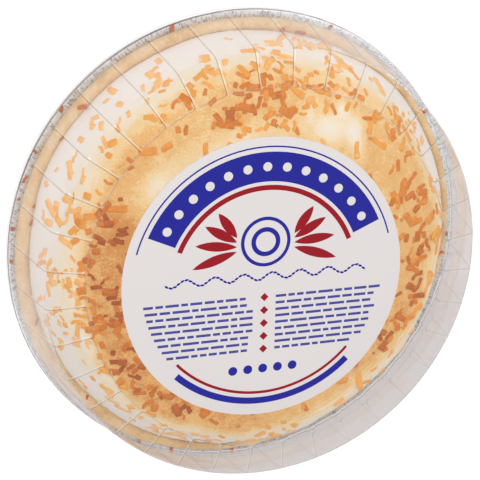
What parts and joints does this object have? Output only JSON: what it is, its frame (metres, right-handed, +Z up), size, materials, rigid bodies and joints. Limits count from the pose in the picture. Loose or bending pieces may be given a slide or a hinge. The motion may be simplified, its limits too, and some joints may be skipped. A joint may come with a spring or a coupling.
{
  "type": "coconut meringue pie",
  "caption": "Uncut coconut meringue pie in a foil tin, under a clear ribbed press-fit lid with a round paper label.",
  "frame": {"origin": "middle of the tin's flat bottom", "axes": "+Z up through the lid, +X to the right of the label's print, +Y to the top of the label's print"},
  "size_m": [0.2486, 0.2486, 0.0826],
  "materials": {
    "foil": "thin crinkled foil",
    "pastry": "baked pastry",
    "meringue": "soft toasted meringue with coconut",
    "clear_plastic": "thin clear gloss plastic",
    "label_paper": "matte printed paper"
  },
  "bodies": {
    "root": {"foil_tin": "foil", "pie_crust": "pastry", "meringue": "meringue", "clear_lid": "clear_plastic", "paper_label": "label_paper"}
  },
  "joints": []
}
